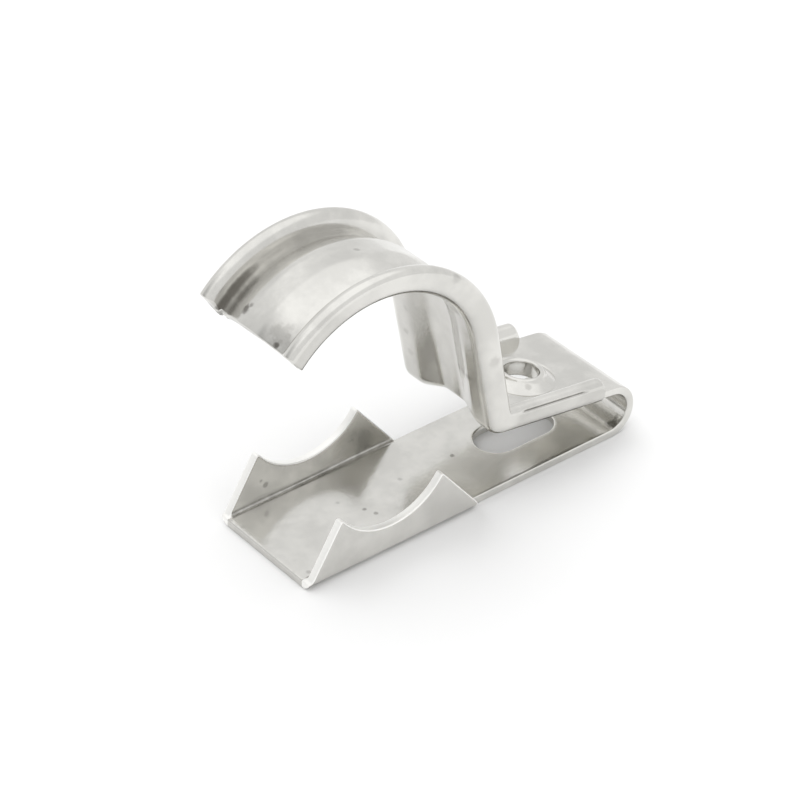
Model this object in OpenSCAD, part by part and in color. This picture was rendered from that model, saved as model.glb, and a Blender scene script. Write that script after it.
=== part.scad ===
// One-piece folded strip clip that holds a conduit on a saddle under a hook.
// Millimetres. X runs along the base towards the U-bend, Y across it, Z up.
// The origin is on the underside of the base, at the middle of its slot.

/* [Sheet] */
// Thickness of the strip
sheet = 1.25; // [1:0.05:1.5]
// Width of the plain strip
strip_w = 17.5; // [16:0.5:20]
// Width of the hooked strap over its edges
strap_w = 20; // [18.5:0.5:22]

/* [Saddle] */
// Length of the flanged saddle, from the free end of the base
saddle_len = 29; // [26:0.5:32]
// Height of the saddle's peaks above the table
saddle_h = 9.1; // [8:0.1:11]
// Radius of the arc cut in each flange
saddle_r = 10; // [9.5:0.5:12]
// Distance of the arc's centre from the free end
saddle_x = 14.2; // [13:0.1:15]
// Height of the arc's centre above the table
saddle_z = 14.8; // [14.5:0.1:16]
// Set-back of the flange's foot from the free end
saddle_inset = 0.5; // [0:0.1:1]
// Distance of the first peak from the free end
saddle_peak_near = 5.5; // [4:0.1:6]
// Distance of the second peak from the free end
saddle_peak_far = 22.8; // [22.5:0.1:24]
// Outside radius of the saddle's long bends
saddle_bend_r = 1.8; // [1.3:0.1:2.5]

/* [Slot and screw hole] */
// Length of the slot in the base
slot_len = 12.8; // [10:0.1:14]
// Width of the slot in the base
slot_w = 6.4; // [5:0.1:8]
// Distance of the slot's middle from the free end
slot_x = 43.6; // [41:0.1:46]
// Diameter of the screw hole in the upper leg
hole_d = 5; // [4:0.1:5.5]
// Height of the collar pressed up around the hole
collar_h = 1.3; // [0.8:0.1:1.5]
// Diameter of the collar at its foot
collar_foot_d = 9.6; // [8.4:0.1:10.4]
// Diameter of the collar at its rim
collar_rim_d = 7.2; // [6.2:0.1:7.6]
// Distance of the hole from the U-bend's end of the upper leg
hole_run = 10.2; // [9:0.1:12]

/* [U-bend and upper leg] */
// Distance of the U-bend's centre from the free end
ubend_x = 54.1; // [50:0.1:58]
// Outside radius of the U-bend
ubend_r = 4.25; // [4:0.05:5.5]
// Rise of the upper leg towards the hook, in degrees
leg_rise = 8.5; // [6:0.5:10]
// Plain strip between the U-bend and the folded edge, on the -Y side
plain_run_left = 3.3; // [1:0.1:5]
// Plain strip between the U-bend and the folded edge, on the +Y side
plain_run_right = 4.1; // [1:0.1:6]

/* [Hook] */
// Distance of the hook's centre from the free end
hook_x = 12.5; // [10:0.1:14]
// Height of the hook's centre above the table
hook_z = 23.95; // [22:0.05:26]
// Radius of the hook on the conduit side
hook_r = 16.4; // [15:0.1:18]
// Angle that the hook wraps, from level with its centre to its tip
hook_tip = 136; // [110:0.5:150]
// Lean of the upright, in degrees
upright_lean = 10; // [5:0.5:14]
// Outside radius of the bend at the upright's foot
foot_bend_r = 2.8; // [2.7:0.1:3.8]

/* [Strap section] */
// Depth of the strap over its folded edges
edge_h = 3.9; // [3:0.1:5]
// Width of each folded edge
edge_w = 2.6; // [2.4:0.1:3]
// Rounding along the top of each folded edge
edge_round = 1.1; // [0.5:0.1:1.2]
// Outside radius of the bend at the edge's foot
edge_bend_r = 1.6; // [1.3:0.1:2.2]
// Width of the strap's raised middle at its foot, between the two grooves
crown_w = 12; // [9:0.5:13]
// Width of the raised middle across its top
crown_top_w = 4.4; // [3:0.1:6]
// Height of the raised middle over the grooves
crown_h = 1.4; // [0.5:0.1:1.8]
// Length over which the raised middle runs out on the upper leg
crown_fade = 4; // [2:0.1:5]

/* [Hidden] */
$fn = 96;
// A cut that runs past both faces of what it cuts
past = 1;
// How far a straight run laps into a bend, and how much fuller its section is
lap = 0.1;
fuller = 1.008;
strip_half = strip_w / 2;
strap_half = strap_w / 2;
saddle_half = strip_half + sheet;
crown_half = crown_w / 2;
crown_top_half = crown_top_w / 2;
leg_turn = 90 - leg_rise;
// The foot bend's centre, where the offset lines of the upright and the upper leg cross
upright_reach = hook_x * cos(upright_lean) + hook_z * sin(upright_lean) + hook_r + foot_bend_r;
leg_reach = ubend_x * sin(leg_rise) + ubend_r * cos(leg_rise) + ubend_r - sheet + foot_bend_r;
corner = cos(upright_lean + leg_rise);
foot_x = (upright_reach * cos(leg_rise) - leg_reach * sin(upright_lean)) / corner;
foot_z = (leg_reach * cos(upright_lean) - upright_reach * sin(leg_rise)) / corner;
upright_len = (foot_x - hook_x) * sin(upright_lean) - (foot_z - hook_z) * cos(upright_lean);
leg_len = (ubend_x - foot_x) * cos(leg_rise) + (foot_z - ubend_r) * sin(leg_rise);

// Stands a drawing of the clip's side on end, so that its Y becomes Z
module side_view(x, z) {
    translate([x, 0, z]) rotate([90, 0, 0]) children();
}

// Carries a section for a length, away from the line it is drawn on. It is a touch fuller than
// the bends and laps into them, so that the folded strip joins up as one solid.
module run(length) {
    translate([sheet / 2, lap, 0]) rotate([90, 0, 0]) linear_extrude(length + 2 * lap)
        scale(fuller) translate([-sheet / 2, 0]) children();
}

// One folded edge: up from a bend, over, and back down against itself
module folded_edge() {
    translate([edge_bend_r, edge_w - edge_bend_r]) circle(edge_bend_r);
    square([edge_h - edge_round, edge_w - edge_bend_r]);
    translate([edge_bend_r, 0]) square([edge_h - edge_round - edge_bend_r, edge_w]);
    translate([edge_bend_r, edge_round])
        square([edge_h - edge_bend_r, edge_w - 2 * edge_round]);
    for (y = [edge_round, edge_w - edge_round])
        translate([edge_h - edge_round, y]) circle(edge_round);
}

// The strap's section: X outwards from the conduit, Y across the strap
module strap_section(raised) {
    web_half = strap_half - edge_bend_r;
    polygon([
        [0, -web_half], [0, -crown_half], [raised, -crown_top_half],
        [raised, crown_top_half], [0, crown_half], [0, web_half],
        [sheet, web_half], [sheet, crown_half], [sheet + raised, crown_top_half],
        [sheet + raised, -crown_top_half], [sheet, -crown_half], [sheet, -web_half]
    ]);
    for (side = [0, 1])
        mirror([0, side]) translate([0, strap_half - edge_w]) folded_edge();
}

module strip_section() {
    translate([0, -strip_half]) square([sheet, strip_w]);
}

module hook() {
    side_view(hook_x, hook_z) rotate([0, 0, upright_lean]) {
        rotate_extrude(angle = hook_tip - upright_lean)
            translate([hook_r, 0]) strap_section(crown_h);
        translate([hook_r, 0]) run(upright_len) strap_section(crown_h);
    }
}

// The bend at the upright's foot. The folded edges reach past its centre, where they crush
// together, so the straight runs make that part of them.
module foot_bend() {
    side_view(foot_x, foot_z) rotate([0, 0, 180 + upright_lean])
        rotate_extrude(angle = leg_turn - upright_lean)
            intersection() {
                translate([foot_bend_r, 0]) mirror([1, 0]) strap_section(crown_h);
                translate([0, -strap_w]) square([foot_bend_r, 2 * strap_w]);
            }
}

module collar() {
    rotate_extrude()
        polygon([
            [0, 0], [collar_foot_d / 2, 0], [collar_foot_d / 2, sheet],
            [collar_rim_d / 2, sheet + collar_h], [0, sheet + collar_h]
        ]);
}

module screw_hole() {
    translate([0, 0, -past]) cylinder(h = sheet + collar_h + 2 * past, d = hole_d);
}

// The raised middle's end on the upper leg, which ramps down to a level, over a bottom
module crown_runout(level, bottom) {
    ramp = crown_h / crown_fade;
    intersection() {
        run(crown_fade)
            polygon([
                [bottom, -crown_half], [level, -crown_half], [level + crown_h, -crown_top_half],
                [level + crown_h, crown_top_half], [level, crown_half], [bottom, crown_half]
            ]);
        linear_extrude(strap_w, center = true)
            polygon([
                [bottom, past], [level + crown_h + ramp * past, past],
                [level, -crown_fade], [bottom, -crown_fade]
            ]);
    }
}

module upper_leg() {
    side_view(ubend_x, ubend_r) rotate([0, 0, leg_turn]) translate([ubend_r - sheet, 0])
        difference() {
            union() {
                translate([0, leg_len]) run(leg_len) strip_section();
                for (left = [0, 1])
                    translate([0, leg_len])
                        run(leg_len - (left ? plain_run_left : plain_run_right))
                            intersection() {
                                strap_section(0);
                                translate([0, (left - 1) * strap_w]) square(strap_w);
                            }
                translate([0, leg_len]) crown_runout(sheet, 0);
                translate([0, hole_run]) rotate([0, 90, 0]) collar();
            }
            translate([0, leg_len]) crown_runout(0, -past);
            translate([0, hole_run]) rotate([0, 90, 0]) screw_hole();
        }
}

module ubend() {
    side_view(ubend_x, ubend_r) rotate([0, 0, -90])
        rotate_extrude(angle = 90 + leg_turn)
            translate([ubend_r - sheet, 0]) strip_section();
}

// The channel that the saddle is cut from: the base with its edges turned up
module saddle_channel() {
    inner_r = saddle_bend_r - sheet;
    rotate([0, 0, 90]) rotate([90, 0, 0]) linear_extrude(saddle_len)
        difference() {
            union() {
                translate([-saddle_half, saddle_bend_r])
                    square([2 * saddle_half, saddle_h]);
                translate([saddle_bend_r - saddle_half, 0])
                    square([2 * (saddle_half - saddle_bend_r), saddle_h]);
                for (side = [-1, 1])
                    translate([side * (saddle_half - saddle_bend_r), saddle_bend_r])
                        circle(saddle_bend_r);
            }
            translate([-strip_half, sheet + inner_r])
                square([strip_w, saddle_h + saddle_bend_r]);
            translate([inner_r - strip_half, sheet])
                square([strip_w - 2 * inner_r, saddle_h + saddle_bend_r]);
            for (side = [-1, 1])
                translate([side * (strip_half - inner_r), sheet + inner_r]) circle(inner_r);
        }
}

// The saddle's outline from the side, with the arc that seats the conduit
module saddle_outline() {
    side_view(0, 0) linear_extrude(2 * saddle_half + 2 * past, center = true)
        difference() {
            polygon([
                [0, 0], [saddle_len, 0], [saddle_len, sheet], [saddle_peak_far, saddle_h],
                [saddle_peak_near, saddle_h], [saddle_inset, sheet], [0, sheet]
            ]);
            translate([saddle_x, saddle_z]) circle(saddle_r);
        }
}

module slot() {
    translate([slot_x, 0, -past]) {
        for (end = [-1, 1])
            translate([end * (slot_len - slot_w) / 2, 0, 0])
                cylinder(h = sheet + 2 * past, d = slot_w);
        translate([-(slot_len - slot_w) / 2, -slot_w / 2, 0])
            cube([slot_len - slot_w, slot_w, sheet + 2 * past]);
    }
}

module base() {
    difference() {
        union() {
            translate([saddle_inset, -strip_half, 0])
                cube([ubend_x - saddle_inset, strip_w, sheet]);
            intersection() {
                saddle_channel();
                saddle_outline();
            }
        }
        slot();
    }
}

module clip() {
    color("silver") translate([-slot_x, 0, 0]) {
        base();
        ubend();
        upper_leg();
        foot_bend();
        hook();
    }
}

clip();
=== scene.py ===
"""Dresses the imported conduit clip: one folded stainless strip, its finish, a pale stage and a camera."""

import math

import bmesh
import bpy
import numpy as np
from mathutils import Matrix, Vector


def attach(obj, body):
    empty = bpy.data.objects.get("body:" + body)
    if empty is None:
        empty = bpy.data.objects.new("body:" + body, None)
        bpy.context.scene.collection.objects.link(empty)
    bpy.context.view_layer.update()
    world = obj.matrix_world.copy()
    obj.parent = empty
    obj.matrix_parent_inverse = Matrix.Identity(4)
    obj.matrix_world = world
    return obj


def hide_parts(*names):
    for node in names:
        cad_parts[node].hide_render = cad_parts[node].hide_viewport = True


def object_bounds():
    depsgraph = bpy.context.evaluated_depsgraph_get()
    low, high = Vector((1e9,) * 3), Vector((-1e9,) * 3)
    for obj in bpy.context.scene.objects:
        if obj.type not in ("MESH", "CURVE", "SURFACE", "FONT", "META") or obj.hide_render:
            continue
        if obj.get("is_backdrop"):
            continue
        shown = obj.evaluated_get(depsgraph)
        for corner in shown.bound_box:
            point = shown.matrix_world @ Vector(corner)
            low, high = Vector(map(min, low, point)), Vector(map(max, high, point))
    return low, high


bl_info = {
    "name": "Conduit Clip",
    "version": (1, 0, 0),
    "blender": (4, 5, 0),
    "location": "3D View > Sidebar > Clip",
    "description": "Builds a folded stainless conduit clip on a plain studio stage",
    "category": "Add Mesh",
}

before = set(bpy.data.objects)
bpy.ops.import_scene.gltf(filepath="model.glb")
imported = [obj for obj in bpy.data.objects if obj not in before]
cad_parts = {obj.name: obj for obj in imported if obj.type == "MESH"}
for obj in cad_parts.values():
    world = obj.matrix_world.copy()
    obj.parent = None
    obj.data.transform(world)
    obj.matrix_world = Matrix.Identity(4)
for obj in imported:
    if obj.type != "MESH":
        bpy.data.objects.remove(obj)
CAD_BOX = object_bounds()
MM = 0.001
# Small marks on the steel: the place in millimetres, the radius and how dark it is.
MARKS = (
    (-12.4, -2.7, 19.0, 0.5, 0.45), (-13.1, -4.4, 19.4, 0.6, 0.5), (-13.7, -6.2, 19.7, 0.6, 0.6),
    (-12.2, -10.0, 23.6, 0.8, 0.2), (-18.7, -9.8, 39.5, 0.8, 0.2), (-43.8, -4.7, 36.9, 0.45, 0.85),
    (-43.3, 2.5, 38.5, 0.6, 0.8), (-42.7, 2.1, 39.0, 0.35, 0.5),
    (-43.3, -4.8, 37.3, 0.35, 0.4), (-42.3, -5.2, 37.9, 0.5, 0.35), (-27.8, -0.6, 42.7, 0.35, 0.3),
    (-13.8, 6.9, 20.2, 0.6, 0.35), (-14.5, 6.1, 24.7, 0.6, 0.25), (-13.2, 6.7, 16.6, 0.7, 0.3),
    (11.5, -7.7, 1.4, 0.7, 0.75), (12.6, -7.5, 2.1, 0.35, 0.4), (-10.6, 0.7, 1.3, 0.35, 0.6),
    (-27.7, -1.4, 1.3, 0.28, 0.5), (-27.0, -3.1, 1.2, 0.28, 0.45), (-29.7, 2.0, 1.2, 0.3, 0.2),
    (-36.8, 8.8, 3.7, 0.4, 0.45), (-37.6, 8.7, 4.7, 0.25, 0.3), (-19.7, 0.9, 1.2, 0.32, 0.22),
    (-43.5, 7.9, 1.2, 0.4, 0.25), (-42.9, 5.7, 1.3, 0.4, 0.2), (-41.8, -7.6, 1.3, 0.35, 0.3),
    (-0.6, -3.6, 11.0, 0.5, 0.25), (-42.8, -4.4, 37.6, 1.5, 0.3), (-40.6, -9.0, 36.5, 1.6, 0.22),
)


def rotation_from_view(azimuth, elevation, roll):
    """Columns are the camera's right, up and back: back leans by elevation at azimuth, then all roll."""
    back = Vector((
        math.sin(azimuth) * math.cos(elevation),
        -math.cos(azimuth) * math.cos(elevation),
        math.sin(elevation),
    ))
    right = Vector((math.cos(azimuth), math.sin(azimuth), 0))
    up = back.cross(right)
    rolled_right = right * math.cos(roll) + up * math.sin(roll)
    rolled_up = up * math.cos(roll) - right * math.sin(roll)
    return Matrix((rolled_right, rolled_up, back)).transposed()


class Nodes:
    """Adds shader nodes to one tree and links what feeds them."""

    def __init__(self, tree):
        self.tree = tree

    def add(self, kind, settings=(), **inputs):
        node = self.tree.nodes.new(kind)
        for name, value in dict(settings).items():
            setattr(node, name, value)
        for name, value in inputs.items():
            self.feed(node.inputs[name.replace("_", " ")], value)
        return node

    def feed(self, socket, value):
        if isinstance(value, bpy.types.NodeSocket):
            self.tree.links.new(value, socket)
        else:
            socket.default_value = value

    def math(self, operation, *values):
        node = self.tree.nodes.new("ShaderNodeMath")
        node.operation = operation
        for socket, value in zip(node.inputs, values):
            self.feed(socket, value)
        return node.outputs[0]

    def noise(self, coordinates, scale, detail=3.0, roughness=0.5):
        node = self.tree.nodes.new("ShaderNodeTexNoise")
        self.feed(node.inputs["Vector"], coordinates)
        node.inputs["Scale"].default_value = scale
        node.inputs["Detail"].default_value = detail
        node.inputs["Roughness"].default_value = roughness
        return node.outputs["Fac"]

    def spread(self, value, low, high, to_low, to_high):
        """Maps low..high onto to_low..to_high, smoothly and clamped."""
        node = self.tree.nodes.new("ShaderNodeMapRange")
        node.interpolation_type = "SMOOTHSTEP"
        for socket, part in zip(node.inputs, (value, low, high, to_low, to_high)):
            self.feed(socket, part)
        return node.outputs["Result"]

    def mix(self, share, colour_a, colour_b):
        node = self.tree.nodes.new("ShaderNodeMix")
        node.data_type = "RGBA"
        self.feed(node.inputs["Factor"], share)
        self.feed(node.inputs["A"], colour_a)
        self.feed(node.inputs["B"], colour_b)
        return node.outputs["Result"]


def steel_material(finish):
    """Satin stainless, clouded by rolling, with a painted highlight on the cut faces, painted shade in
    creases and along some faces, and small marks.
    """
    material = bpy.data.materials.new("clip_steel")
    material.use_nodes = True
    tree = material.node_tree
    tree.nodes.clear()
    nodes = Nodes(tree)
    place = nodes.add("ShaderNodeTexCoord").outputs["Object"]
    tone = nodes.add("ShaderNodeAttribute", {"attribute_name": "tone"}).outputs["Fac"]
    clouds = nodes.noise(place, 150.0, 5.0, 0.62)
    grain = nodes.noise(place, 2600.0, 2.0, 0.6)
    blotch_noise = nodes.noise(place, 900.0, 3.0, 0.6)
    shade = nodes.spread(clouds, 0.35, 0.65, 0.0, 1.0)
    pale = tuple(finish.colour) + (1.0,)
    dull = tuple(c * finish.cloud_shade for c in finish.colour) + (1.0,)
    colour = nodes.mix(shade, dull, pale)
    rough = nodes.spread(clouds, 0.3, 0.7, finish.roughness + 0.05, finish.roughness - 0.03)
    # Tone over 0.1 paints the cut faces near white, a painted highlight, and makes them rougher.
    cut_highlight = nodes.spread(tone, 0.1, 0.6, 0.0, 1.0)
    colour = nodes.mix(cut_highlight, colour, (0.98, 0.975, 0.95, 1.0))
    rough = nodes.math("ADD", rough, nodes.math("MULTIPLY", cut_highlight, 0.3))
    # Negative tones paint shade: a light darkening down to -0.3, and a deeper one in creases, broken up by
    # noise.
    painted_shade = nodes.spread(tone, 0.0, -0.3, 0.0, 0.15)
    crease_shade = nodes.spread(nodes.math("MULTIPLY_ADD", blotch_noise, 0.3, tone), -0.3, -0.8, 0.0, 0.85)
    shade_and_marks = nodes.math("MAXIMUM", painted_shade, crease_shade)
    # Small dark marks on the steel join the painted shade.
    for x, y, z, size, depth in MARKS:
        away = nodes.add("ShaderNodeVectorMath", {"operation": "DISTANCE"})
        nodes.feed(away.inputs[0], place)
        nodes.feed(away.inputs[1], (x * MM, y * MM, z * MM))
        ragged = nodes.math("MULTIPLY_ADD", blotch_noise, 2.0 * size * MM, away.outputs["Value"])
        mark = nodes.spread(ragged, size * MM * 2.5, size * MM * 1.5, 0.0, depth)
        shade_and_marks = nodes.math("MAXIMUM", shade_and_marks, mark)
    # One dark colour carries both the painted shade and the marks.
    colour = nodes.mix(shade_and_marks, colour, (0.13, 0.12, 0.105, 1.0))
    relief = nodes.math("MULTIPLY_ADD", clouds, 15.0, grain)
    bump = nodes.add("ShaderNodeBump", Strength=0.12, Distance=0.00003, Height=relief)
    shader = nodes.add(
        "ShaderNodeBsdfPrincipled",
        Base_Color=colour, Roughness=rough, Normal=bump.outputs["Normal"], Metallic=1.0,
    )
    output = nodes.add("ShaderNodeOutputMaterial")
    tree.links.new(shader.outputs["BSDF"], output.inputs["Surface"])
    return material


def length(name, description, millimetres):
    """One size of the clip, kept in metres."""
    return bpy.props.FloatProperty(
        name=name, description=description, default=millimetres * MM,
        unit="LENGTH", subtype="DISTANCE", precision=5,
    )


def angle(name, description, degrees):
    return bpy.props.FloatProperty(
        name=name, description=description, default=math.radians(degrees), subtype="ANGLE",
    )


class ClipSizes(bpy.types.PropertyGroup):
    sheet: length("Sheet", "Thickness of the strip", 1.25)
    strip_w: length("Strip width", "Width of the plain strip", 17.5)
    strap_w: length("Strap width", "Width of the hooked strap over its folded edges", 20.0)
    saddle_len: length("Saddle length", "Length of the flanged saddle", 29.0)
    saddle_h: length("Saddle height", "Height of the flanges' peaks over the table", 9.1)
    saddle_r: length("Arc radius", "Radius of the arc cut in each flange", 10.0)
    saddle_x: length("Arc place", "Distance of the arc's centre from the free end", 14.2)
    saddle_z: length("Arc height", "Height of the arc's centre over the table", 14.8)
    saddle_inset: length("Flange set-back", "Set-back of the flange's foot from the free end", 0.5)
    peak_near: length("First peak", "Distance of the first peak from the free end", 5.5)
    peak_far: length("Second peak", "Distance of the second peak from the free end", 22.8)
    saddle_bend_r: length("Flange bend", "Outside radius of the bends under the flanges", 1.8)
    slot_len: length("Slot length", "Length of the slot in the base", 12.8)
    slot_w: length("Slot width", "Width of the slot in the base", 6.4)
    slot_x: length("Slot place", "Distance of the slot's middle from the free end", 43.6)
    hole_d: length("Hole", "Diameter of the screw hole", 5.0)
    collar_h: length("Collar height", "Height of the collar round the hole", 1.3)
    collar_foot_d: length("Collar foot", "Diameter of the collar at its foot", 9.6)
    collar_rim_d: length("Collar rim", "Diameter of the collar at its rim", 7.2)
    hole_run: length("Hole place", "From the U-bend's end to the hole, along the upper leg", 10.2)
    ubend_x: length("U-bend place", "Distance of the U-bend's centre from the free end", 54.1)
    ubend_r: length("U-bend", "Outside radius of the U-bend", 4.25)
    plain_run_left: length("Plain run, left", "From the U-bend to the fold on the -Y side", 3.3)
    plain_run_right: length("Plain run, right", "From the U-bend to the fold on the +Y side", 4.1)
    hook_x: length("Hook place", "Distance of the hook's centre from the free end", 12.5)
    hook_z: length("Hook height", "Height of the hook's centre over the table", 23.95)
    hook_r: length("Hook radius", "Radius of the hook on the conduit side", 16.4)
    foot_bend_r: length("Foot bend", "Outside radius of the bend under the upright", 2.8)
    edge_h: length("Fold depth", "Depth of the strap over its folded edges", 3.9)
    edge_w: length("Fold width", "Width of each folded edge", 2.6)
    edge_round: length("Fold rounding", "Rounding along the top of each folded edge", 1.1)
    edge_bend_r: length("Fold bend", "Outside radius of the bend at the fold's foot", 1.6)
    crown_w: length("Crown width", "Width of the strap's raised middle at its foot", 12.0)
    crown_top_w: length("Crown top", "Width of the raised middle across its top", 4.4)
    crown_h: length("Crown height", "Height of the raised middle over the grooves", 1.4)
    crown_fade: length("Crown run-out", "Length over which the raised middle runs out", 4.0)
    rim_round: length("Rim rounding", "Rounding of the strip's cut edges", 0.22)
    notch: length("Tip notch", "Depth of the two notches in the hook's tip", 0.5)
    tip_bow: length("Tip bow", "How far the far corner of the web runs past its middle", 0.95)
    seam: length("Seam depth", "Depth of the open seam along the leg's near fold", 0.16)
    leg_rise: angle("Leg rise", "Rise of the upper leg towards the hook", 8.5)
    upright_lean: angle("Upright lean", "Lean of the upright", 10.0)
    hook_tip: angle("Hook tip", "Where the hook ends, from level with its centre", 136.0)


def smooth(value, low, high):
    """Rises from 0 at low to 1 at high, as a cubic with level ends."""
    share = np.clip((value - low) / (high - low), 0.0, 1.0)
    return share * share * (3.0 - 2.0 * share)


class Route:
    """The strip's conduit side, seen from the side.

    It is a chain of straight runs and arcs that starts at the free end of the base. An arc of
    radius r and turn t adds the chord of that turn to the last point, and each point's outward
    normal is its heading turned a quarter to the right.
    """

    STEP = 0.4 * MM
    ARC_STEP = math.radians(1.2)

    def __init__(self, k):
        leg_heading = math.pi - k.leg_rise
        up_heading = math.pi / 2 + k.upright_lean
        foot_turn = leg_heading - up_heading
        upright_reach = (
            k.hook_x * math.cos(k.upright_lean) + k.hook_z * math.sin(k.upright_lean)
            + k.hook_r + k.foot_bend_r
        )
        leg_reach = (
            k.ubend_x * math.sin(k.leg_rise) + k.ubend_r * math.cos(k.leg_rise)
            + k.ubend_r - k.sheet + k.foot_bend_r
        )
        corner = math.cos(k.upright_lean + k.leg_rise)
        foot_x = (upright_reach * math.cos(k.leg_rise) - leg_reach * math.sin(k.upright_lean)) / corner
        foot_z = (leg_reach * math.cos(k.upright_lean) - upright_reach * math.sin(k.leg_rise)) / corner
        self.leg_len = (
            (k.ubend_x - foot_x) * math.cos(k.leg_rise) + (foot_z - k.ubend_r) * math.sin(k.leg_rise)
        )
        upright_len = (
            (foot_x - k.hook_x) * math.sin(k.upright_lean) - (foot_z - k.hook_z) * math.cos(k.upright_lean)
        )
        ubend_len = (k.ubend_r - k.sheet) * leg_heading
        self.leg_start = k.ubend_x + ubend_len
        self.foot_start = self.leg_start + self.leg_len
        self.foot_end = self.foot_start + k.foot_bend_r * foot_turn
        self.hook_start = self.foot_end + upright_len
        hook_turn = k.hook_tip - k.upright_lean
        self.tip = self.hook_start + k.hook_r * hook_turn
        self.foot_turn = foot_turn
        chain = (
            (k.ubend_x, 0.0), (ubend_len, leg_heading), (self.leg_len, 0.0),
            (self.foot_end - self.foot_start, -foot_turn), (upright_len, 0.0),
            (k.hook_r * hook_turn, hook_turn), (k.sheet, 0.0),
        )
        stations = [(0.0, -k.slot_x, k.sheet, 0.0)]
        for run, turn in chain:
            at, x, z, heading = stations[-1]
            parts = max(round(run / self.STEP), math.ceil(abs(turn) / self.ARC_STEP))
            share = np.arange(1, parts + 1) / parts
            turned = heading + turn * share
            if turn:
                radius = run / turn
                xs = x + radius * (np.sin(turned) - math.sin(heading))
                zs = z - radius * (np.cos(turned) - math.cos(heading))
            else:
                xs = x + run * share * math.cos(heading)
                zs = z + run * share * math.sin(heading)
            stations.extend(zip(at + run * share, xs, zs, turned))
        self.at, self.x, self.z, self.heading = np.array(stations).T

    def between(self, start, end):
        """The stations from start to end, both included."""
        inside = (self.at > start + 1e-5) & (self.at < end - 1e-5)
        return np.concatenate(([start], self.at[inside], [end]))

    def place(self, at, across, depth):
        """Points at a length along the route, a distance across it and a depth outwards."""
        heading = np.interp(at, self.at, self.heading)
        x = np.interp(at, self.at, self.x) + depth * np.sin(heading)
        z = np.interp(at, self.at, self.z) - depth * np.cos(heading)
        return np.stack(np.broadcast_arrays(x, across, z), axis=-1)


class Skin:
    """Gathers grids of points and caps, and welds them into one closed mesh."""

    def __init__(self):
        self.points = []
        self.tones = []
        self.faces = []
        self.count = 0

    def grid(self, points, closed=False, tone=0.0):
        """Adds the quads of a grid of points; a closed one joins its last column to its first.

        The tone is 1 where a highlight is painted on the cut faces, 0 on plain steel and below 0 where shade
        is painted, down to -1 in creases.
        """
        rows, columns = points.shape[:2]
        self.tones.append(np.broadcast_to(tone, (rows, columns)).ravel())
        index = np.arange(rows * columns).reshape(rows, columns) + self.count
        if closed:
            index = np.concatenate((index, index[:, :1]), axis=1)
        quads = np.stack((index[:-1, :-1], index[1:, :-1], index[1:, 1:], index[:-1, 1:]), axis=-1)
        quads = quads.reshape(-1, 4)
        self.faces.extend(quads.tolist())
        self.points.append(points.reshape(-1, 3))
        self.count += rows * columns

    def mesh(self, name):
        """Welds points that meet, drops what collapses and turns every face outwards."""
        mesh = bpy.data.meshes.new(name)
        mesh.from_pydata(np.concatenate(self.points), [], self.faces)
        tone = mesh.attributes.new("tone", "FLOAT", "POINT")
        tone.data.foreach_set("value", np.concatenate(self.tones))
        shell = bmesh.new()
        shell.from_mesh(mesh)
        bmesh.ops.remove_doubles(shell, verts=shell.verts, dist=2e-6)
        bmesh.ops.dissolve_degenerate(shell, edges=shell.edges, dist=1e-6)
        open_edges = [edge for edge in shell.edges if edge.is_boundary]
        bmesh.ops.holes_fill(shell, edges=open_edges, sides=0)
        bmesh.ops.recalc_face_normals(shell, faces=shell.faces)
        shell.to_mesh(mesh)
        shell.free()
        mesh.shade_smooth()
        mesh.set_sharp_from_angle(angle=math.radians(40))
        return mesh


def add_piece(context, skin, name):
    """Links a skin as a piece of the clip that rides with it and takes its finish."""
    piece = bpy.data.objects.new(name, skin.mesh(name))
    context.scene.collection.objects.link(piece)
    piece.data.materials.append(
        bpy.data.materials.get("clip_steel") or steel_material(context.scene.clip_finish)
    )
    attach(piece, "root")
    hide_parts("clip")
    return piece


def arc(centre, radius, start, end, parts):
    """Points on a circle from one angle to another, as rows of two coordinates."""
    turn = np.radians(np.linspace(start, end, parts + 1))
    return np.stack((centre[0] + radius * np.cos(turn), centre[1] + radius * np.sin(turn)), axis=-1)


def inset(loop, amount):
    """Moves each point of a closed anticlockwise loop inwards, square to its neighbours' chord."""
    chord = np.roll(loop, -1, axis=0) - np.roll(loop, 1, axis=0)
    inward = np.stack((-chord[:, 1], chord[:, 0]), axis=-1)
    return loop + amount * inward / np.linalg.norm(inward, axis=1, keepdims=True)


def rounded_end(loop, radius, parts=4):
    """A quarter round over an end: pairs of how far before the end, and the loop drawn in."""
    for turn in np.linspace(0.0, math.pi / 2, parts + 1):
        yield radius * (1.0 - math.sin(turn)), inset(loop, radius * (1.0 - math.cos(turn)))


def crown(k, route, at, across):
    """Height of the raised middle: one even slope on each side, run out on the upper leg.

    The slope's corners are rounded as the mean of the same slope moved a little both ways.
    """
    moved = np.abs(across)[..., None] + np.linspace(-0.55, 0.55, 9) * MM
    rise = np.clip((k.crown_w / 2 - moved) / ((k.crown_w - k.crown_top_w) / 2), 0.0, 1.0).mean(axis=-1)
    return k.crown_h * rise * smooth(at, route.foot_start - k.crown_fade, route.foot_start)


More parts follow.
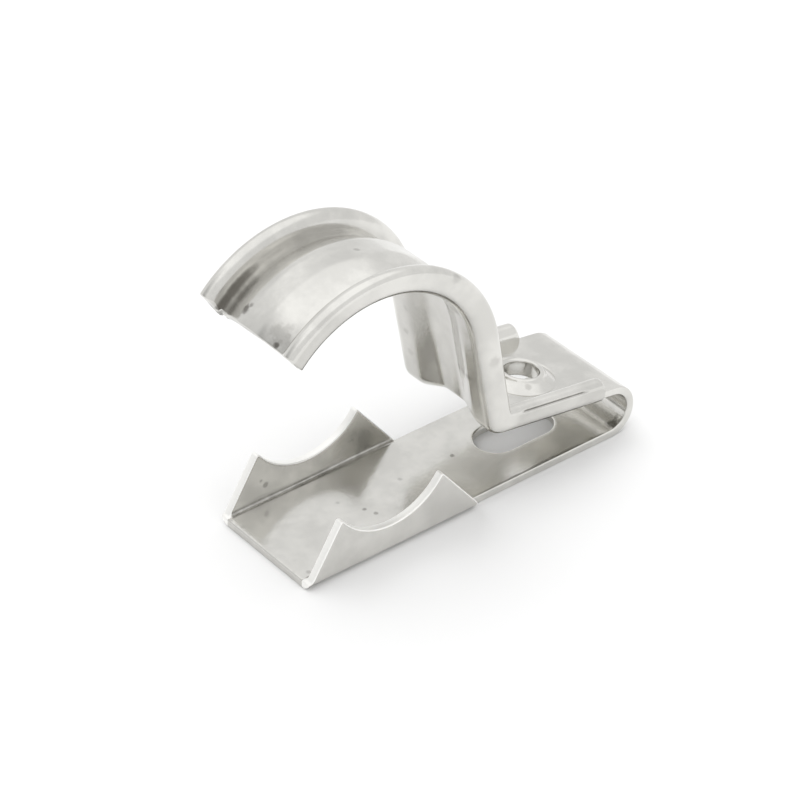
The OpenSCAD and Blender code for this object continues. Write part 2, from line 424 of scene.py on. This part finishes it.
class StripSection:
    """The plain strip's section: a rectangle with rounded corners, as a loop of four stretches."""

    ACROSS = np.linspace(-1.0, 1.0, 57)
    CORNER_PARTS = 3

    def __init__(self, k, route):
        self.k = k
        self.route = route
        r = k.rim_round
        right = np.concatenate((
            arc((0.0, r), r, -90, 0, self.CORNER_PARTS),
            arc((0.0, k.sheet - r), r, 0, 90, self.CORNER_PARTS),
        ))
        left = np.concatenate((
            arc((0.0, k.sheet - r), r, 90, 180, self.CORNER_PARTS),
            arc((0.0, r), r, 180, 270, self.CORNER_PARTS),
        ))
        line = self.ACROSS[1:-1]
        self.share = np.concatenate((line, np.ones(len(right)), -line, -np.ones(len(left))))
        self.extra = np.concatenate((line * 0, right[:, 0], line * 0, left[:, 0]))
        self.depth = np.concatenate((line * 0, right[:, 1], line * 0 + k.sheet, left[:, 1]))
        self.right_rim = slice(len(line), len(line) + len(right))
        self.left_rim = slice(2 * len(line) + len(right), None)
        self.saddle_half = k.strap_w / 2 - k.saddle_bend_r + 1.5 * r
        self.strap_half = k.strap_w / 2 - k.edge_bend_r + r

    def flat_half(self, at):
        """Half of the flat width: narrower where the flanges or the folded edges take over."""
        k, route = self.k, self.route
        fold = route.leg_start + k.plain_run_right
        return -k.rim_round + np.interp(
            at, (k.saddle_len - k.sheet / 2, k.saddle_len, fold + k.sheet, fold + 2 * k.sheet),
            (self.saddle_half, k.strip_w / 2, k.strip_w / 2, self.strap_half),
        )

    def loop(self, at):
        half = self.flat_half(at)
        return np.stack((self.share * half + self.extra, self.depth), axis=-1)

    def place(self, at, across, depth):
        """Lifts the raised middle, and draws the tip in at its two notches."""
        k, route = self.k, self.route
        inner = k.strap_w / 2 - k.edge_w
        bite = np.exp(-((np.abs(across) - 0.96 * inner) / (0.28 * k.sheet)) ** 2)
        bow = np.where(across > 0, k.tip_bow, 0.5 * k.tip_bow) * np.clip(across / inner, -1.0, 1.0) ** 2
        near_tip = smooth(at, route.tip - 5 * k.notch, route.tip)
        at = at + (bow * (1.0 - depth / k.edge_h) - k.notch * bite) * near_tip
        return route.place(at, across, depth + crown(k, route, at, across))

    def sweep(self, start, end):
        """The section at every station from start to end."""
        stations = self.route.between(start, end)
        loops = np.stack([self.loop(at) for at in stations])
        return self.place(stations[:, None], loops[..., 0], loops[..., 1])

    def cap(self, end, backwards):
        """The rounded rings at one end, from the full section to the face of the cut."""
        rings = []
        for before, loop in rounded_end(self.loop(end), self.k.rim_round):
            at = end + before if backwards else end - before
            rings.append(self.place(at, loop[:, 0], loop[:, 1]))
        return np.stack(rings)

    def opening(self, skin, start, end, middle, flank, radius, wall):
        """A stretch of strip with an opening in it.

        The opening's outline is all points at one radius from a line of half-length flank. Each
        point of the stretch's own outline has its nearest point on that line, and the rings run
        between the two, in shares of the way. They follow the wall, given as rows of how far
        outwards from the outline and how deep, through the sheet, and run out again.
        """
        stations = self.route.between(start, end)
        half = self.flat_half(stations)
        outline = np.concatenate((
            np.stack(np.broadcast_arrays(start, self.ACROSS[:-1] * half[0]), axis=-1),
            np.stack((stations[:-1], half[:-1]), axis=-1),
            np.stack(np.broadcast_arrays(end, self.ACROSS[:0:-1] * half[-1]), axis=-1),
            np.stack((stations[:0:-1], -half[:0:-1]), axis=-1),
        ))
        core = np.stack((
            np.clip(outline[:, 0], middle - flank, middle + flank), np.zeros(len(outline))
        ), axis=-1)
        away = outline - core
        away /= np.linalg.norm(away, axis=1, keepdims=True)
        shares = np.linspace(1.0, 0.0, 11)[:-1]

        def ring(share, outwards, depth):
            point = core + away * (radius + outwards)
            point = point + (outline - point) * share
            return self.place(point[:, 0], point[:, 1], depth)

        rings = [ring(share, *wall[0]) for share in shares]
        rings += [ring(0.0, *row) for row in wall]
        rings += [ring(share, *wall[-1]) for share in shares[::-1]]
        skin.grid(np.stack(rings), closed=True)
        rims = self.sweep(start, end)
        skin.grid(rims[:, self.right_rim])
        skin.grid(rims[:, self.left_rim])


def slot_wall(k):
    """Through the sheet beside the slot: its top edge is the rounder one."""
    top, under = 1.6 * k.rim_round, k.rim_round
    return np.concatenate((
        arc((top, top), top, 270, 180, 5), arc((under, k.sheet - under), under, 180, 90, 4),
    ))


def collar_wall(k):
    """Through the leg beside the hole: up the bore, over a round lip and down a full flare.

    The flare falls from the lip by the 1.2th power of the share of the way to its foot, which is
    pressed a little into the leg.
    """
    r = k.rim_round
    top = k.sheet + k.collar_h
    lip = (k.collar_rim_d - k.hole_d) / 5
    flare_run = k.collar_foot_d / 2 - k.hole_d / 2 - 2 * lip
    share = np.linspace(0.12, 1.0, 10)
    flare = np.stack((2 * lip + flare_run * share, top - lip - (k.collar_h - lip) * share ** 1.2), -1)
    crease = [(flare[-1, 0] + r, k.sheet - r / 2), (flare[-1, 0] + 2 * r, k.sheet)]
    bore = arc((r, r), r, 270, 180, 4)
    return np.concatenate((bore, arc((lip, top - lip), lip, 180, 25, 10), flare, crease))


def folded_strip(k):
    """The strip from the free end of the base to the hook's tip, with its slot and collared hole."""
    route = Route(k)
    section = StripSection(k, route)
    skin = Skin()
    margin = (k.strip_w - k.slot_w) / 8
    slot_from = k.slot_x - k.slot_len / 2 - margin
    slot_to = k.slot_x + k.slot_len / 2 + margin
    hole = route.leg_start + k.hole_run
    hole_from, hole_to = hole - 0.62 * k.collar_foot_d, hole + 0.62 * k.collar_foot_d
    # The free end's face gets painted shade.
    skin.grid(section.cap(0.0, True), closed=True, tone=-0.3)
    skin.grid(section.sweep(k.rim_round, slot_from), closed=True)
    section.opening(
        skin, slot_from, slot_to, k.slot_x, (k.slot_len - k.slot_w) / 2, k.slot_w / 2, slot_wall(k)
    )
    skin.grid(section.sweep(slot_to, hole_from), closed=True)
    section.opening(skin, hole_from, hole_to, hole, 0.0, k.hole_d / 2, collar_wall(k))
    # Painted shade on the conduit side from the foot on: the upright and the inside of the hook.
    lining = -0.3 * (section.depth < k.sheet / 2)
    stations = route.between(hole_to, route.tip - k.rim_round)
    painted_shade = lining * smooth(stations, route.foot_start, route.foot_end)[:, None]
    skin.grid(section.sweep(hole_to, route.tip - k.rim_round), closed=True, tone=painted_shade)
    skin.grid(section.cap(route.tip, False), closed=True)
    return skin


class FoldedEdge:
    """One folded edge: its section is carried along lines from the conduit side to the crest.

    Away from the foot the lines stand square to the strip. Near it they fan, so that the crest
    runs straight on to the corner where the two crushed stretches meet.
    """

    FAN = 6.0 * MM

    def __init__(self, k, route, side):
        self.k, self.route, self.side = k, route, side
        self.start = route.leg_start + (k.plain_run_right if side > 0 else k.plain_run_left)
        self.middle = (route.foot_start + route.foot_end) / 2
        over = k.edge_h - k.foot_bend_r
        half_turn = route.foot_turn / 2
        self.corner = route.place(self.middle, 0.0, k.foot_bend_r + over / math.cos(half_turn))
        self.crest_share = 1.0 - (k.foot_bend_r * half_turn + over * math.tan(half_turn)) / self.FAN

    def loop(self):
        k = self.k
        outer, inner = k.strap_w / 2, k.strap_w / 2 - k.edge_w
        side = np.linspace(k.edge_bend_r, k.edge_h - k.edge_round, 30)[1:-1]
        bead_w, bead_h = k.edge_w - k.edge_round, 2.0 * k.edge_round
        bead = arc((0.0, 0.0), 1.0, 90, 180, 14)[1:] * (bead_w, bead_h) + (inner + bead_w, k.edge_h - bead_h)
        lining = np.linspace(k.edge_h - bead_h, k.sheet / 2, 7)[1:]
        hidden = (outer - k.edge_bend_r - k.sheet / 3, k.sheet / 30)
        return np.concatenate((
            [hidden],
            arc((outer - k.edge_bend_r, k.edge_bend_r), k.edge_bend_r, 270, 360, 12),
            np.stack(np.broadcast_arrays(outer, side), axis=-1),
            arc((outer - k.edge_round, k.edge_h - k.edge_round), k.edge_round, 0, 90, 16),
            bead,
            np.stack(np.broadcast_arrays(inner, lining), axis=-1),
        ))

    def crest(self, at):
        """The crest's points: square over the strip, or on the straight lines from the corner."""
        k, route = self.k, self.route
        square = route.place(at, 0.0, k.edge_h)
        offset = at - self.middle
        heading = np.where(
            offset < 0,
            np.interp(route.foot_start, route.at, route.heading),
            np.interp(route.foot_end, route.at, route.heading),
        )
        along = np.stack((np.cos(heading), np.zeros_like(heading), np.sin(heading)), axis=-1)
        straight = self.corner + along * (offset * self.crest_share)[..., None]
        return np.where((np.abs(offset) < self.FAN)[..., None], straight, square)

    def place(self, at, loop):
        """A ring of the fold: lowered and rounded off at its start on the upper leg, and with
        the open seam of the near side drawn in."""
        k = self.k
        across, depth = loop[:, 0], loop[:, 1]
        left = np.clip(1.0 - (at - self.start) / k.edge_round, 0.0, 1.0)
        low = k.edge_round * (1.0 - math.sqrt(1.0 - left * left))
        upper = np.clip(depth - k.sheet, 0.0, None)
        depth = depth - upper * low / (k.edge_h - k.sheet)
        if self.side < 0:
            across = across - k.seam * self.seam(at, loop)
        low_side = np.clip(1.0 - depth / k.edge_h, 0.0, 1.0)
        reach = k.tip_bow * float(smooth(at, self.route.tip - 5 * k.notch, self.route.tip))
        reach *= 1.0 if self.side > 0 else 0.5
        base = self.route.place(at + reach * low_side, 0.0, 0.0)
        ring = base + (self.crest(np.array(at)) - base) * (depth / k.edge_h)[:, None]
        ring[:, 1] = self.side * across
        return ring

    def seam(self, at, loop):
        """How open the seam is at each point of a ring: one thin line, on the leg's near side."""
        k = self.k
        if self.side > 0:
            return np.zeros(len(loop))
        reach = smooth(at, self.start + 2.2 * k.sheet, self.start + 3.6 * k.sheet)
        reach = reach * smooth(at, self.start + 13.4 * k.sheet, self.start + 12.2 * k.sheet)
        line = np.exp(-((loop[:, 1] - 0.8 * k.edge_h) / (0.14 * k.sheet)) ** 2)
        return reach * line * (loop[:, 0] > k.strap_w / 2 - 0.6 * k.edge_round)

    def tone(self, at, loop):
        """Painted shade in the seam and, towards the hook's tip, in the valley beside the web.

        Painted shade also darkens the outer side along the upper leg and the last half of the hook.
        """
        k, route = self.k, self.route
        inner = k.strap_w / 2 - k.edge_w
        # Painted shade in the valley beside the web, stronger towards the tip, and in the seam.
        valley = (loop[:, 0] < inner + 0.35 * MM) * smooth(loop[:, 1], 2.6 * k.sheet, 1.2 * k.sheet)
        shade_strength = 0.35 + 0.65 * smooth(at, route.tip - 9 * k.sheet, route.tip - 2 * k.sheet)
        shade_and_marks = np.maximum(self.seam(at, loop), valley * shade_strength * (at > route.hook_start))
        # Painted shade on the outer side of the fold.
        half_way = (route.hook_start + route.tip) / 2
        painted_shade = smooth(at, route.foot_start, route.foot_start - 2 * k.sheet)
        painted_shade = painted_shade + smooth(at, half_way, route.tip)
        side = (loop[:, 0] > k.strap_w / 2 - k.rim_round) & (loop[:, 1] < k.edge_h - k.edge_round)
        return -np.maximum(shade_and_marks, 0.3 * painted_shade * side)

    def skin(self, skin):
        k, route = self.k, self.route
        loop = self.loop()
        rise = self.start + k.edge_round * (1.0 - np.cos(np.linspace(0.35, math.pi / 2, 9)))
        stations = np.concatenate((rise, route.between(rise[-1], route.tip - k.rim_round)[1:]))
        first = [self.place(stations[0] - k.rim_round + before, ring)
                 for before, ring in rounded_end(loop, k.rim_round)]
        last = [self.place(route.tip - before, ring) for before, ring in rounded_end(loop, k.rim_round)]
        rings = first[::-1] + [self.place(at, loop) for at in stations[1:-1]] + last
        at = np.concatenate((np.full(len(first), stations[0]), stations[1:-1], np.full(len(last), route.tip)))
        skin.grid(np.stack(rings), closed=True, tone=np.stack([self.tone(a, loop) for a in at]))


def saddle_flange(k, skin, side):
    """One flange of the saddle: columns stand on the base's edge and reach up to the outline.

    The outline runs up the slanted front, over the first peak, down and up the seating arc and
    down the back. Each column goes up the inner face, over the rounded cut and down the outer
    face, and both faces bend in to the base as quarter rounds about one centre.
    """
    r, low = k.rim_round, k.saddle_bend_r
    drop = k.saddle_z - k.saddle_h
    sweep = math.degrees(math.acos(drop / k.saddle_r))
    seat = arc((k.saddle_x, k.saddle_z), k.saddle_r, 270 - sweep, 270 + sweep, 60)
    corners = np.concatenate((
        [(0.0, r), (0.0, k.sheet), (k.saddle_inset, k.sheet), (k.peak_near, k.saddle_h)],
        seat,
        [(k.peak_far, k.saddle_h), (k.saddle_len, k.sheet), (k.saddle_len, r)],
    ))
    walked = np.concatenate(([0.0], np.cumsum(np.linalg.norm(np.diff(corners, axis=0), axis=1))))
    at = np.linspace(0.0, walked[-1], 320)
    blur = np.linspace(-0.25, 0.25, 7)[:, None] * MM
    spread = np.clip(at + blur, 0.0, walked[-1])
    outline = np.stack([np.interp(spread, walked, corners[:, i]).mean(axis=0) for i in (0, 1)], -1)
    outline[0], outline[-1] = corners[0], corners[-1]
    chord = np.gradient(outline, axis=0)
    inward = np.stack((chord[:, 1], -chord[:, 0]), -1) / np.linalg.norm(chord, axis=1, keepdims=True)

    def inner_face(z):
        return centre + np.sqrt(np.clip((low - k.sheet) ** 2 - np.clip(low - z, 0, None) ** 2, 0, None))

    def outer_face(z):
        return centre + np.sqrt(low ** 2 - np.clip(low - z, 0, low) ** 2)

    def climb(face, bend_heights):
        """Rows up one face: first through its bend, then in equal shares of what is left."""
        edge = outline + inward * r
        top = edge[:, 1]
        rows = [np.minimum(height, top) for height in bend_heights]
        rest = rows[-1]
        rows += [rest + (top - rest) * share for share in np.linspace(0.0, 1.0, 11)[1:-1]]
        return [np.stack((edge[:, 0], face(z), z), -1) for z in rows]

    def rim(face, way):
        """Rows round one edge of the cut, from its face to its top."""
        rows = []
        for turn in np.linspace(0.0, math.pi / 2, 5):
            edge = outline + inward * r * (1 - math.sin(turn))
            across = face(edge[:, 1]) + way * r * (1 - math.cos(turn))
            rows.append(np.stack((edge[:, 0], across, edge[:, 1]), -1))
        return rows

    centre = k.strap_w / 2 - low
    turns = np.linspace(0.0, math.pi / 2, 7)
    inner_heights = np.concatenate(([0.7 * k.sheet], low - (low - k.sheet) * np.cos(turns)))
    outer_heights = low - low * np.cos(turns)
    inner = climb(inner_face, inner_heights) + rim(inner_face, 1)
    outer = climb(outer_face, outer_heights) + rim(outer_face, -1)
    # The rows round the cut take tone 1, the painted highlight.
    plain, cut_highlight = np.zeros(len(inner) - 4), np.ones(4)
    tone = np.concatenate((plain, cut_highlight, cut_highlight, np.zeros(len(outer) - 4)))
    # Painted shade in the inner bend at the flange's root.
    tone[:len(inner_heights)] = -0.7
    grid = np.stack(inner + outer[::-1], axis=1) * (1, side, 1) - (k.slot_x, 0, 0)
    skin.grid(np.maximum(grid, (-math.inf, -math.inf, 0)), closed=True, tone=tone)


def studio_world(stage):
    """A white room, brighter overhead, with one darker patch that the hook's tip reflects."""
    world = bpy.data.worlds.new("studio")
    world.use_nodes = True
    tree = world.node_tree
    nodes = Nodes(tree)
    looking = nodes.add("ShaderNodeTexCoord").outputs["Generated"]
    facing = nodes.add("ShaderNodeVectorMath", {"operation": "DOT_PRODUCT"})
    nodes.feed(facing.inputs[0], looking)
    nodes.feed(facing.inputs[1], rotation_from_view(stage.patch_azimuth, stage.patch_elevation, 0.0).col[2])
    level = nodes.spread(facing.outputs["Value"], 0.82, 0.99, stage.room_level, stage.patch_level)
    height = nodes.add("ShaderNodeSeparateXYZ", Vector=looking).outputs["Z"]
    overhead = nodes.spread(height, 0.6, 0.82, 0.0, stage.overhead_light)
    nodes.feed(tree.nodes["Background"].inputs["Strength"], nodes.math("ADD", level, overhead))
    tree.nodes["Background"].inputs["Color"].default_value = (1, 1, 1, 1)
    return world


class ClipFinish(bpy.types.PropertyGroup):
    colour: bpy.props.FloatVectorProperty(
        name="Steel colour", description="Colour of the bare steel",
        default=(0.735, 0.726, 0.694), subtype="COLOR", min=0, max=1,
    )
    cloud_shade: bpy.props.FloatProperty(
        name="Cloud shade", description="Colour of the duller clouds, of the bare steel's",
        default=0.87, min=0, max=1,
    )
    roughness: bpy.props.FloatProperty(
        name="Roughness", description="How far the satin finish blurs what it reflects",
        default=0.17, min=0.05, max=0.8,
    )


class StudioStage(bpy.types.PropertyGroup):
    floor_colour: bpy.props.FloatVectorProperty(
        name="Floor colour", description="Colour of the plain floor",
        default=(0.87, 0.87, 0.87), subtype="COLOR", min=0, max=1,
    )
    floor_size: bpy.props.FloatProperty(
        name="Floor size", description="Length of the floor's side",
        default=4.0, unit="LENGTH", subtype="DISTANCE",
    )
    lamp_strength: bpy.props.FloatProperty(
        name="Lamp strength", description="Light of the key lamp on a surface that faces it", default=0.8,
    )
    lamp_spread: angle("Lamp spread", "How wide the key lamp looks from the clip", 70.0)
    lamp_azimuth: angle("Lamp azimuth", "Where the key lamp stands, about Z", -160.0)
    lamp_elevation: angle("Lamp elevation", "Height of the key lamp above the level", 66.0)
    room_level: bpy.props.FloatProperty(
        name="Room light", description="Light that comes from the walls of the room", default=0.92,
    )
    overhead_light: bpy.props.FloatProperty(
        name="Overhead light", description="Light that the room's ceiling adds to its walls", default=0.3,
    )
    patch_level: bpy.props.FloatProperty(
        name="Patch light", description="Light that comes from the room's darker patch", default=0.55,
    )
    patch_azimuth: angle("Patch azimuth", "Where the darker patch is, about Z", -104.0)
    patch_elevation: angle("Patch elevation", "Height of the darker patch above the level", 32.0)
    camera_lens: bpy.props.FloatProperty(
        name="Lens", description="Focal length on a 36 mm sensor, in millimetres", default=133.3,
    )
    camera_distance: bpy.props.FloatProperty(
        name="Camera distance", description="From the camera to the point it looks at",
        default=0.40585, unit="LENGTH", subtype="DISTANCE",
    )
    camera_azimuth: bpy.props.FloatProperty(
        name="Azimuth", description="Direction that the camera looks from, about Z",
        default=math.radians(-38.271), subtype="ANGLE",
    )
    camera_elevation: bpy.props.FloatProperty(
        name="Elevation", description="Height of the camera above the level",
        default=math.radians(35.385), subtype="ANGLE",
    )
    camera_roll: bpy.props.FloatProperty(
        name="Roll", description="Turn of the camera about its own line of sight",
        default=math.radians(-0.198), subtype="ANGLE",
    )
    camera_aim: bpy.props.FloatVectorProperty(
        name="Aim", description="Point that the camera looks at",
        default=(-0.017047, 0.004208, 0.011646), subtype="TRANSLATION", unit="LENGTH",
    )


class StripOperator(bpy.types.Operator):
    """The folded strip: base, U-bend, upper leg with its collared hole, upright and hook"""

    bl_idname = "object.conduit_clip_strip"
    bl_label = "Folded strip"

    def execute(self, context):
        add_piece(context, folded_strip(context.scene.clip_sizes), "folded_strip")
        return {"FINISHED"}


class EdgesOperator(bpy.types.Operator):
    """The two folded edges of the hooked strap"""

    bl_idname = "object.conduit_clip_edges"
    bl_label = "Folded edges"

    def execute(self, context):
        k = context.scene.clip_sizes
        route = Route(k)
        skin = Skin()
        for side in (-1, 1):
            FoldedEdge(k, route, side).skin(skin)
        add_piece(context, skin, "folded_edges")
        return {"FINISHED"}


class FlangesOperator(bpy.types.Operator):
    """The saddle's two flanges, with the arcs that seat the conduit"""

    bl_idname = "object.conduit_clip_flanges"
    bl_label = "Saddle flanges"

    def execute(self, context):
        skin = Skin()
        for side in (-1, 1):
            saddle_flange(context.scene.clip_sizes, skin, side)
        add_piece(context, skin, "saddle_flanges")
        return {"FINISHED"}


class StageOperator(bpy.types.Operator):
    """A plain pale floor, soft studio light and the camera"""

    bl_idname = "object.conduit_clip_stage"
    bl_label = "Studio stage"

    def execute(self, context):
        stage = context.scene.clip_stage
        half = stage.floor_size / 2
        mesh = bpy.data.meshes.new("floor")
        corners = [(-half, -half, 0), (half, -half, 0), (half, half, 0), (-half, half, 0)]
        mesh.from_pydata(corners, [], [(0, 1, 2, 3)])
        floor = bpy.data.objects.new("floor", mesh)
        context.scene.collection.objects.link(floor)
        floor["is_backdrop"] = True
        paint = bpy.data.materials.new("floor_paint")
        paint.use_nodes = True
        shader = paint.node_tree.nodes["Principled BSDF"]
        shader.inputs["Base Color"].default_value = tuple(stage.floor_colour) + (1.0,)
        shader.inputs["Roughness"].default_value = 0.9
        shader.inputs["Specular IOR Level"].default_value = 0.0
        mesh.materials.append(paint)

        context.scene.world = studio_world(stage)
        lamp_data = bpy.data.lights.new("key_lamp", "SUN")
        lamp_data.energy = stage.lamp_strength
        lamp_data.angle = stage.lamp_spread
        lamp = bpy.data.objects.new("key_lamp", lamp_data)
        context.scene.collection.objects.link(lamp)
        lamp.visible_glossy = False
        lamp.rotation_euler = rotation_from_view(stage.lamp_azimuth, stage.lamp_elevation, 0.0).to_euler()

        camera_data = bpy.data.cameras.new("camera")
        camera_data.lens = stage.camera_lens
        camera_data.sensor_width = 36.0
        camera_data.clip_start = 0.01
        camera = bpy.data.objects.new("camera", camera_data)
        context.scene.collection.objects.link(camera)
        turn = rotation_from_view(stage.camera_azimuth, stage.camera_elevation, stage.camera_roll)
        place = Vector(stage.camera_aim) + turn.col[2] * stage.camera_distance
        camera.matrix_world = Matrix.Translation(place) @ turn.to_4x4()
        context.scene.camera = camera
        context.scene.view_settings.view_transform = "Standard"
        return {"FINISHED"}


class ClipPanel(bpy.types.Panel):
    """Lists the clip's finish, its stage and the operators that build them"""

    bl_idname = "VIEW3D_PT_conduit_clip"
    bl_label = "Conduit Clip"
    bl_space_type = "VIEW_3D"
    bl_region_type = "UI"
    bl_category = "Clip"

    def draw(self, context):
        for group in (context.scene.clip_sizes, context.scene.clip_finish, context.scene.clip_stage):
            for name in group.bl_rna.properties.keys():
                if name not in {"rna_type", "name"}:
                    self.layout.prop(group, name)
        for operator in OPERATORS:
            self.layout.operator(operator.bl_idname)


OPERATORS = (StripOperator, EdgesOperator, FlangesOperator, StageOperator)
GROUPS = (ClipSizes, ClipFinish, StudioStage)
CLASSES = GROUPS + OPERATORS + (ClipPanel,)


def register():
    for cls in CLASSES:
        bpy.utils.register_class(cls)
    bpy.types.Scene.clip_sizes = bpy.props.PointerProperty(type=ClipSizes)
    bpy.types.Scene.clip_finish = bpy.props.PointerProperty(type=ClipFinish)
    bpy.types.Scene.clip_stage = bpy.props.PointerProperty(type=StudioStage)


def unregister():
    del bpy.types.Scene.clip_sizes
    del bpy.types.Scene.clip_finish
    del bpy.types.Scene.clip_stage
    for cls in reversed(CLASSES):
        bpy.utils.unregister_class(cls)


def main():
    register()
    bpy.ops.object.conduit_clip_stage()
    bpy.ops.object.conduit_clip_strip()
    bpy.ops.object.conduit_clip_edges()
    bpy.ops.object.conduit_clip_flanges()
    boxes = {"cad": CAD_BOX, "visual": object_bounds()}
    {name: [list(corner) for corner in box] for name, box in boxes.items()}


if __name__ == "__main__":
    main()
